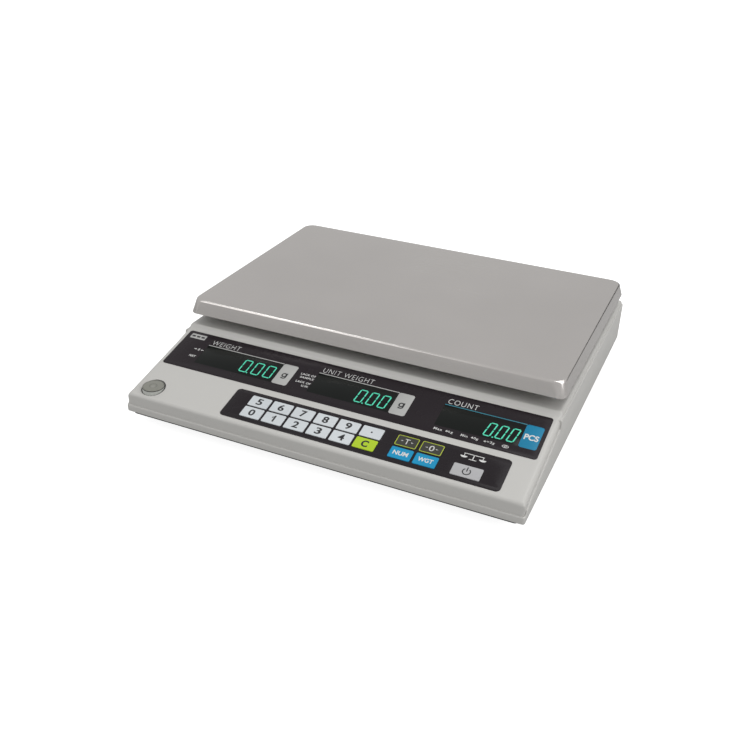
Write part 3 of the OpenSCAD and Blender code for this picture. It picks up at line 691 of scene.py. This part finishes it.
def make_lower_housing():
    """Wall carried round a rounded rectangle, its foot eased and its lip a quarter round along the seam;
    a floor inside, and openings in the back for the sockets."""
    wall, foot, lip, band = 2.5 * MM, 0.5 * MM, 1.1 * MM, 5 * MM
    inner = LOWER_HALF[:2] - band
    lines_y = dense_lines(-inner[1], inner[1], np.concatenate([SEAM_LINES, -SEAM_LINES]), 34)
    base, way, fan = outline_round(*LOWER_HALF[:2], band, np.linspace(-inner[0], inner[0], 20), lines_y)
    turn = np.radians(np.linspace(0, 90, 6))
    inward = np.concatenate([[wall, wall], foot * (1 - np.sin(turn)), lip * (1 - np.sin(turn[::-1])),
                             [wall, wall]])
    raised = np.concatenate([[0.5, 0], 0 * turn, 1 + 0 * turn, [1, 0.5]])
    offset = np.concatenate([[0, 0], foot * (1 - np.cos(turn)), -lip * (1 - np.cos(turn[::-1])), [0, 0]])
    radius = np.maximum(CORNER - inward[:, None], LEAST_CORNER)
    reach = outline_reach(fan[None], band - inward[:, None], radius)
    flat = base[None] + way[None] * reach[..., None]
    seam = seam_height((base + way * outline_reach(fan, band, CORNER)[:, None])[:, 1])
    height = LOWER_LOW[2] + raised[:, None] * (seam - LOWER_LOW[2])[None] + offset[:, None]
    shell = weld("lower_housing_shell", [np.concatenate([flat, height[..., None]], -1)], HOUSING_BOTTOM, 40)
    fuse_hole = in_back_wall("fuse_holder", [cylinder_grid(6.9 * MM, -8 * MM, 8 * MM, (0, 0))])
    cut(shell, [socket_cutter(name, 0.1 * MM) for name in SOCKET_FRONTS] + [fuse_hole])
    floor_half, floor_z = LOWER_HALF[:2] - 2 * MM, LOWER_LOW[2] + 1 * MM
    floor_plate = weld("floor", slab(*floor_half, 1.5 * MM, floor_z, floor_z + 2.5 * MM, 0.2 * MM),
                       HOUSING_BOTTOM)
    cell_y = middle_of(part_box("load_cell"))[1]
    holes = [weld("hole", slab(22 * MM, 23 * MM, 4 * MM, 0, 30 * MM, 0, (side * 60 * MM, cell_y)),
                  HOUSING_BOTTOM) for side in (-1, 1)]
    holes += [weld("hole", [cylinder_grid(9 * MM, 0, 30 * MM, middle_of(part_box("foot_sole_" + place)))],
                   HOUSING_BOTTOM) for place in ("front_left", "front_right", "back_left", "back_right")]
    cut(floor_plate, holes)
    shell = join("lower_housing_shell", [shell, floor_plate])
    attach(shell, "root")
    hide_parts("lower_housing")


# Width and height of each socket's front in millimetres
SOCKET_FRONTS = {"mains_inlet": (28, 20.4), "serial_port": (31, 12.5)}


def in_back_wall(name, grids):
    """A cutter made lying flat, turned upright and set in the back wall at the named part's middle."""
    x, _, z = middle_of(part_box(name))

    def stand_up(points):
        return np.stack([x - points[:, 0], points[:, 2] + LOWER_HIGH[1], points[:, 1] + z], -1)
    return move_points(weld("cutter", grids, HOUSING_BOTTOM), stand_up)


def socket_cutter(name, grow):
    width, height = np.array(SOCKET_FRONTS[name]) / 2 * MM + grow
    return in_back_wall(name, slab(width, height, 2.1 * MM, -8 * MM, 8 * MM, 0))


make_upper_housing()
make_lower_housing()

# ---------------------------------------------------------------- display
FILM_TOP = 0.25 * MM
WINDOW_TOP = 0.18 * MM
WINDOW_S = (9.0 * MM, 33.2 * MM)
WINDOWS = {"weight": (-141.3 * MM, -64.2 * MM), "unit_weight": (-30.3 * MM, 43.5 * MM),
           "count": (83.2 * MM, 151.3 * MM)}
TAG_S = (8.9 * MM, 34.2 * MM)


def make_display_film():
    film = plate("display_film", [rounded_outline(-BAND_WIDTH / 2, BAND_WIDTH / 2, 0, BAND_LENGTH, 2.5 * MM)]
                 + [box_outline(*span, *WINDOW_S) for span in WINDOWS.values()], 0, FILM_TOP, DISPLAY_FILM)
    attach(film, "root")
    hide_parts("display_overlay")
    for name, span in WINDOWS.items():
        window = plate("display_window_" + name, [box_outline(*span, *WINDOW_S)], -0.1 * MM, WINDOW_TOP,
                       DISPLAY_GLASS, 0.01 * MM)
        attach(window, "root")


# Figures of each display: left edges, lower edge, width, lean in degrees
FIGURE_HEIGHT = 15.4 * MM
FIGURES = {"weight": ((-98.7, -87.0, -75.5), 12.4, 7.9, 0), "unit_weight": ((11.2, 21.6, 31.9), 11.6, 7.6, 4),
           "count": ((121.8, 131.2, 140.4), 11.2, 7.6, 9)}
STROKE = 1.05 * MM


def figure_zero(left, low, width, lean):
    """The six lit bars of a nought: long hexagons round a box, sheared to the right by the lean."""
    half, gap = STROKE / 2, 0.16 * MM
    x0, x1, s0, s1 = left + half, left + width - half, low + half, low + FIGURE_HEIGHT - half
    middle = (s0 + s1) / 2
    ends = [((x0, s0), (x1, s0)), ((x0, s1), (x1, s1)), ((x0, s0), (x0, middle)), ((x1, s0), (x1, middle)),
            ((x0, middle), (x0, s1)), ((x1, middle), (x1, s1))]
    bars = []
    for start, end in ends:
        start, end = np.array(start), np.array(end)
        along = (end - start) / np.linalg.norm(end - start)
        side = np.array([-along[1], along[0]]) * half
        start, end = start + along * gap, end - along * gap
        bar = np.array([start, start + along * half - side, end - along * half - side, end,
                        end - along * half + side, start + along * half + side])
        bars.append(bar)
    shear = np.tan(np.radians(lean))
    return [np.column_stack([bar[:, 0] + (bar[:, 1] - low) * shear, bar[:, 1]]) for bar in bars]


def make_figures():
    for name, (lefts, low, width, lean) in FIGURES.items():
        shear = np.tan(np.radians(lean)) * FIGURE_HEIGHT
        outlines = []
        for left in lefts:
            outlines += figure_zero(left * MM, low * MM, width * MM - shear * 0.5, lean)
        point = (lefts[0] + width + 0.9) * MM
        outlines.append(rounded_outline(point - 0.7 * MM, point + 0.6 * MM, (low - 0.3) * MM,
                                        (low + 1.0) * MM, 0.5 * MM, 4))
        lit = plate("display_figures_" + name, outlines, WINDOW_TOP, WINDOW_TOP + 0.03 * MM, SEGMENT_GREEN,
                    0.005 * MM)
        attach(lit, "root")


def printed(name, parts):
    piece = join(name, parts)
    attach(piece, "root")


# Printed words on the display film: text, x from, x to, s from, s to, stroke weight
TITLES = [("WEIGHT", -139.7, -111.1, 35.4, 41.0, -0.018), ("UNIT WEIGHT", -28.4, 18.5, 35.4, 41.0, -0.018),
          ("COUNT", 84.6, 109.8, 35.4, 41.0, -0.010)]
SMALL_WORDS = [("NET", -150.6, -144.2, 15.0, 17.4, 0.02), ("LACK OF", -44.7, -30.9, 26.6, 28.9, 0.02),
               ("SAMPLE", -43.6, -30.9, 22.7, 25.0, 0.02), ("LACK OF", -44.7, -30.9, 16.9, 19.2, 0.02),
               ("U.W.", -37.6, -30.9, 13.0, 15.3, 0.02), ("0", -147.4, -145.7, 24.1, 26.9, 0.02),
               ("Max", 84.6, 91.6, 4.2, 6.8, 0.01), ("6kg", 94.4, 100.4, 3.8, 6.8, 0.01),
               ("Min", 106.9, 112.4, 4.2, 6.8, 0.01), ("40g", 115.0, 121.0, 3.8, 6.8, 0.01),
               ("e=2g", 125.6, 134.2, 3.8, 6.8, 0.01)]
RULES = [(-141.3, -64.2, TAG_GREY), (-30.3, 43.7, TAG_GREY), (83.2, 151.3, PRINT_TEAL)]
UNIT_TAGS = [(-64.0, -49.9, TAG_GREY), (43.6, 57.6, TAG_GREY), (151.2, 165.3, TAG_BLUE)]


def arrow(x, s, way, size):
    """Small arrow: a shaft and a head, pointing along x."""
    tip, tail, half = x + way * size, x - way * size, size * 0.16
    return np.array([(tail, s - half), (x, s - half), (x, s - size * 0.55), (tip, s), (x, s + size * 0.55),
                     (x, s + half), (tail, s + half)])[::(1 if way > 0 else -1)]


# The tail of the letter g, from the bowl's right side down and round to the left
HOOK = [(1.9, 2.55), (1.9, 0.5), (1.9, -2.6), (1.6, -3.4), (0.8, -3.85), (-0.4, -3.9), (-1.4, -3.65),
        (-2.0, -3.1)]


def stroke(path, width):
    """Outline of a line of the given width along a path, its ends cut square."""
    way = np.gradient(path, axis=0)
    way /= np.linalg.norm(way, axis=1)[:, None]
    side = np.column_stack([-way[:, 1], way[:, 0]]) * width / 2
    return np.concatenate([path + side, (path - side)[::-1]])


def ring_outlines(x, s, rx, rs, stroke, sides=28):
    """Outer and inner ovals of a drawn ring."""
    angle = np.linspace(0, 2 * np.pi, sides, endpoint=False)
    return [np.column_stack([x + (rx - d) * np.cos(angle), s + (rs - d) * np.sin(angle)])
            for d in (0, stroke)]


def make_display_print():
    parts = [lettering("word", text, x0 * MM, x1 * MM, s0 * MM, s1 * MM, FILM_TOP, PRINT_WHITE, weight, 1.14)
             for text, x0, x1, s0, s1, weight in TITLES + SMALL_WORDS]
    for x0, x1, tint in RULES:
        parts.append(ink("rule", [box_outline(x0 * MM, x1 * MM, 33.35 * MM, 34.15 * MM)], FILM_TOP, tint))
    for way in (-1, 1):
        shape = arrow((-146.6 - way * 3.4) * MM, 25.5 * MM, way, 1.5 * MM)
        parts.append(ink("arrow", [shape], FILM_TOP, PRINT_WHITE))
    oval = (ring_outlines(142.6 * MM, 5.4 * MM, 2.7 * MM, 1.6 * MM, 0.5 * MM)
            + ring_outlines(142.6 * MM, 5.4 * MM, 1.1 * MM, 0.75 * MM, 0.4 * MM))
    parts.append(ink("mark", oval, FILM_TOP, PRINT_WHITE))
    tag = rounded_outline(-164.5 * MM, -149.1 * MM, 37.9 * MM, 43.9 * MM, 0.5 * MM, 4)
    parts.append(ink("blank_tag", [tag], FILM_TOP, TAG_GREY))
    on_tag = FILM_TOP + PRINT_THICK
    for x in (-161.6, -156.8, -152.0):
        bar = box_outline((x - 1.7) * MM, (x + 1.7) * MM, 39.9 * MM, 41.9 * MM)
        parts.append(ink("bar", [bar], on_tag, PRINT_BLACK))
    for x0, x1, tint in UNIT_TAGS:
        parts.append(ink("unit_tag", [rounded_outline(x0 * MM, x1 * MM, *TAG_S, 2 * MM)], FILM_TOP, tint))
    letter_s, pen = 20.8, 1.25 * MM
    for x in (-57.2, 50.7):
        bowl = ring_outlines((x - 0.2) * MM, letter_s * MM, 2.45 * MM, 2.6 * MM, pen)
        hook = stroke((np.array(HOOK) + [x, letter_s]) * MM, pen)
        parts += [ink("bowl", bowl, on_tag, PRINT_BLACK), ink("hook", [hook], on_tag, PRINT_BLACK, 1.2)]
    parts.append(lettering("word", "PCS", 152.7 * MM, 164.0 * MM, 17.9 * MM, 24.0 * MM, on_tag, PRINT_WHITE,
                           0.03))
    printed("display_print", parts)


make_display_film()
make_figures()
make_display_print()

# ---------------------------------------------------------------- keypad
KEY_TOP = 0.75 * MM
KEY_BASE = -1.2 * MM
PANEL_X = (-85.5 * MM, 152.8 * MM)
PANEL_S = (-39.75 * MM, -6.6 * MM)
ROW_S = (-16.3 * MM, -29.4 * MM)
KEY_SIZE = (18.1 * MM, 11.5 * MM)
FIRST_KEY_X, KEY_PITCH = -59.9 * MM, 20.24 * MM
TARE_X, ZERO_X = 71.2 * MM, 91.6 * MM
KEYS = {name: (FIRST_KEY_X + column * KEY_PITCH, ROW_S[row], *KEY_SIZE)
        for row, names in enumerate((("key_5", "key_6", "key_7", "key_8", "key_9", "key_point"),
                                     ("key_0", "key_1", "key_2", "key_3", "key_4", "key_clear")))
        for column, name in enumerate(names)}
KEYS |= {"key_tare": (TARE_X, ROW_S[0], *KEY_SIZE), "key_number": (TARE_X, ROW_S[1], *KEY_SIZE),
         "key_zero": (ZERO_X, ROW_S[0], *KEY_SIZE), "key_weight": (ZERO_X, ROW_S[1], *KEY_SIZE),
         "key_power": (124.2 * MM, -29.2 * MM, 23.2 * MM, 12.0 * MM)}
# Legend of each key: text, width, height, colour, stroke weight
LEGENDS = {name: (name[-1], 5.0, 7.0, PRINT_BLACK, 0.02) for name in KEYS if name[-1] in "023456789"}
LEGENDS |= {"key_clear": ("C", 5.4, 6.8, PRINT_BLACK, 0.03),
            "key_number": ("NUM", 12.2, 4.3, PRINT_WHITE, 0.03),
            "key_weight": ("WGT", 12.2, 4.3, PRINT_WHITE, 0.03),
            "key_tare": ("T", 4.0, 5.4, PRINT_WHITE, 0.0),
            "key_zero": ("0", 4.0, 5.6, PRINT_WHITE, 0.0)}
# Outline of the figure 1 in a box of width 1 and height 1
ONE = np.array([(0.52, 0), (1, 0), (1, 1), (0.66, 1), (0.5, 0.86), (0.27, 0.76), (0, 0.70), (0, 0.54),
                (0.27, 0.60), (0.52, 0.71)])


def key_outline(name, grow, radius):
    x, s, width, height = KEYS[name]
    return rounded_outline(x - width / 2 - grow, x + width / 2 + grow, s - height / 2 - grow,
                           s + height / 2 + grow, radius, 6)


def key_print(name):
    """The marks printed on a key's top. A dark legend is laid twice, a little apart, to thicken it."""
    x, s = KEYS[name][:2]
    if name in LEGENDS:
        text, wide, tall, tint, weight = LEGENDS[name]
        half_x, half_s = wide / 2 * MM, tall / 2 * MM
        for shift in (-0.13 * MM, 0.13 * MM) if tint is PRINT_BLACK else (0,):
            yield lettering("word", text, x + shift - half_x, x + shift + half_x, s - half_s, s + half_s,
                            KEY_TOP + 0.02 * shift, tint, weight)
    if name == "key_1":
        yield ink("one", [(ONE * [3.1, 7.0] - [1.85, 3.5]) * MM + [x, s]], KEY_TOP, PRINT_BLACK)
    if name == "key_point":
        half = 0.8 * MM
        dot = rounded_outline(x - half, x + half, s - half, s + half, 0.7 * MM, 5)
        yield ink("dot", [dot], KEY_TOP, PRINT_BLACK)
    if name in ("key_tare", "key_zero"):
        frame_lines = [key_outline(name, -0.25 * MM, 1.3 * MM), key_outline(name, -0.85 * MM, 0.8 * MM)]
        yield ink("outline", frame_lines, KEY_TOP, PRINT_LIME)
        for way in (-1, 1):
            yield ink("arrow", [arrow(x - way * 4.1 * MM, s, way, 1.0 * MM)], KEY_TOP, PRINT_WHITE)
    if name == "key_power":
        angle = np.radians(np.linspace(125, 415, 40))
        arc = [np.column_stack([x + r * MM * np.cos(angle), s - 0.3 * MM + r * MM * np.sin(angle)])
               for r in (3.4, 2.5)]
        yield ink("power_ring", [np.concatenate([arc[0], arc[1][::-1]])], KEY_TOP, PRINT_BLACK)
        bar = box_outline(x - 0.45 * MM, x + 0.45 * MM, s - 0.2 * MM, s + 4.2 * MM)
        yield ink("power_bar", [bar], KEY_TOP, PRINT_BLACK)


def make_keys():
    """Each key is a flat cap with a softly rolled edge, standing through its aperture in the panel."""
    for name, (x, s, width, height) in KEYS.items():
        cap = weld(name + "_cap", slab(width / 2, height / 2, 1.0 * MM, KEY_BASE, KEY_TOP, 0.4 * MM, (x, s)),
                   KEY_FINISH[SLOT_OF[name]], 50)
        move_points(cap, on_console)
        cap = join(name + "_cap", [cap, *key_print(name)])
        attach(cap, name)
        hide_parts(name)


def make_keypad():
    panel = plate("keypad_film", [rounded_outline(*PANEL_X, *PANEL_S, 3.6 * MM)]
                  + [key_outline(name, 0.2 * MM, 1.1 * MM) for name in KEYS], 0, FILM_TOP, KEYPAD_FILM)
    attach(panel, "root")
    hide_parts("keypad_overlay")


def make_balance_mark():
    """Plain picture of a balance: a post on a foot, a beam and two pans."""
    x, s = 124.2, -13.7
    shapes = [box_outline(x - 0.35, x + 0.35, s - 2.6, s + 2.6), box_outline(x - 3, x + 3, s - 3.2, s - 2.6),
              box_outline(x - 8, x + 8, s + 2.0, s + 2.6)]
    for side in (-1, 1):
        pan = np.radians(np.linspace(180, 360, 13))
        shapes.append(np.column_stack([x + side * 7.4 + 2.8 * np.cos(pan), s - 0.4 + 1.9 * np.sin(pan)]))
        shapes.append(box_outline(x + side * 7.4 - 0.25, x + side * 7.4 + 0.25, s - 0.4, s + 2.0))
    printed("balance_mark", [ink("mark", [shape * MM], FILM_TOP, PRINT_WHITE) for shape in shapes])


make_keypad()
make_keys()
make_balance_mark()


# ---------------------------------------------------------------- bubble level
def ring_piece(name, section, radii, material, sharp=40, middle=None):
    """Piece turned about the vial's axis, or about a middle of its own, from a section in millimetres."""
    path = fillet_path(np.array(section) * MM, np.array(radii) * MM)
    return weld(name, [turned(path, VIAL[:2] if middle is None else middle)], material, sharp)


def make_level():
    """Black ring sunk in the console's well as painted shadow in the gap round the collar's foot, and an
    upright collar rising to a level disc of fluid. Its front stands proud of the slope, with a black band
    under the disc as painted shade along the edge of its rim."""
    vial_s = (VIAL[1] - BAND_Y) / np.cos(SLOPE)
    top = VIAL_TOP / MM
    # Black used as painted shade in the level's gap and under its disc.
    dark = CAD_FINISH["component_black"]
    # Black ring at the bottom of the well's gap: painted shadow in the gap round the collar's foot.
    gap_shadow_ring = ring_piece("gap_shadow_ring", [(8.6, -0.8), (8.6, -0.3), (9.95, -0.3), (9.95, -0.8), (8.6, -0.8)],
                      [0, 0.1, 0], dark, 50, (VIAL[0], vial_s))
    move_points(gap_shadow_ring, on_console)
    collar = ring_piece("collar", [(8.55, 28.5), (9.8, 28.5), (9.15, top - 0.9), (9.15, top - 1),
                                   (8.55, top - 1), (8.55, 28.5)], [0, 0, 0, 0], VIAL_RIM)
    # Black band under the disc: painted shade along the edge of the disc's rim.
    joint = ring_piece("joint", [(8.8, top - 1.1), (9.24, top - 1.1), (9.2, top - 0.55), (8.8, top - 0.55),
                                 (8.8, top - 1.1)], [0, 0, 0], dark)
    rim = ring_piece("rim", [(8.55, top - 0.6), (9.15, top - 0.6), (9.1, top - 0.05), (8.55, top - 0.05),
                             (8.55, top - 0.6)], [0, 0.2, 0], VIAL_FLUID)
    bezel = join("level_bezel", [collar, gap_shadow_ring, joint, rim])
    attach(bezel, "root")
    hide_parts("level_ring")
    cup = ring_piece("level_cup", [(0, top - 12), (8.5, top - 12), (8.5, top - 0.05), (0, top - 0.05)],
                     [0, 0.3], VIAL_FLUID)
    mark = ring_piece("circle", [(2.95, top - 0.14), (3.2, top - 0.14), (3.2, top - 0.04), (2.95, top - 0.04),
                                 (2.95, top - 0.14)], [0, 0, 0], CAD_FINISH["connector_black"])
    cup = join("level_cup", [cup, mark])
    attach(cup, "root")
    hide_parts("level_vial")
    bubble = ring_piece("level_air", [(0, top - 0.3), (2.2, top - 0.3), (1.9, top), (0, top)], [0, 0.2],
                        CAD_FINISH["bubble"], 60, VIAL[:2] + [0.5 * MM, -1.2 * MM])
    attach(bubble, "root")
    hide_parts("level_bubble")


make_level()

# ---------------------------------------------------------------- stage
WORLD_STRENGTH = 0.60
FLOOR_SIZE = 30.0
FLOOR_GLOW = 0.86


def make_floor():
    """White sweep: bright where it is looked at, and a plain grey in the light it gives back."""
    half = FLOOR_SIZE / 2
    mesh = bpy.data.meshes.new("floor_sheet")
    mesh.from_pydata([(-half, -half, 0), (half, -half, 0), (half, half, 0), (-half, half, 0)], [],
                     [(0, 1, 2, 3)])
    floor = link("floor_sheet", mesh)
    paper = Finish("backdrop_paper", (0.50, 0.50, 0.50), 0.9)
    paper.mottle(paper.noise(3, 2), 0.004)
    seen = paper.add("LightPath").outputs["Is Camera Ray"]
    glow = paper.tree.nodes.new("ShaderNodeMath")
    glow.operation = "MULTIPLY"
    paper.tree.links.new(seen, glow.inputs[0])
    glow.inputs[1].default_value = FLOOR_GLOW
    paper.set("Emission Color", (1, 1, 1, 1))
    paper.link(glow.outputs["Value"], "Emission Strength")
    mesh.materials.append(paper.material)


def make_flag():
    """Black card far behind on the right, seen only in the platter's rolled edge."""
    mesh = bpy.data.meshes.new("black_flag")
    mesh.from_pydata([(0.3, 2.6, 0), (2.4, 1.7, 0), (2.4, 1.7, 0.7), (0.3, 2.6, 0.7)], [], [(0, 1, 2, 3)])
    flag = link("black_flag", mesh)
    flag.visible_camera = False
    mesh.materials.append(Finish("flag_black", (0.01, 0.01, 0.01), 0.8).material)


def area_light(name, place, aim, size, power):
    """Round softbox at a place, turned to its aim: size in metres, power in watts."""
    lamp = bpy.data.lights.new(name, "AREA")
    lamp.shape, lamp.size, lamp.energy = "DISK", size, power
    holder = bpy.data.objects.new(name, lamp)
    holder.location = place
    holder.rotation_euler = (Vector(aim) - Vector(place)).to_track_quat("-Z", "Y").to_euler()
    holder.visible_camera = False
    bpy.context.scene.collection.objects.link(holder)


def make_world():
    """Even white surroundings, at full strength only where they are looked at."""
    world = bpy.data.worlds.new("studio")
    world.use_nodes = True
    nodes, links = world.node_tree.nodes, world.node_tree.links
    seen = nodes.new("ShaderNodeLightPath")
    strength = nodes.new("ShaderNodeMapRange")
    strength.inputs["To Min"].default_value = WORLD_STRENGTH
    strength.inputs["To Max"].default_value = 1.0
    links.new(seen.outputs["Is Camera Ray"], strength.inputs["Value"])
    links.new(strength.outputs["Result"], nodes["Background"].inputs["Strength"])
    nodes["Background"].inputs["Color"].default_value = (1, 1, 1, 1)
    bpy.context.scene.world = world
    bpy.context.scene.view_settings.view_transform = "Standard"


make_world()
make_floor()
make_flag()
area_light("softbox_overhead", (0.65, 0.45, 1.7), (0.02, 0, 0.05), 1.0, 8)
area_light("softbox_left", (-0.75, -0.15, 1.45), (0, 0, 0.05), 0.35, 2)
area_light("softbox_right", (1.45, -0.25, 0.85), (0.02, 0, 0.05), 0.9, 6.6)
area_light("softbox_front", (-0.9, -1.3, 0.95), (0.02, 0, 0.05), 0.9, 3)
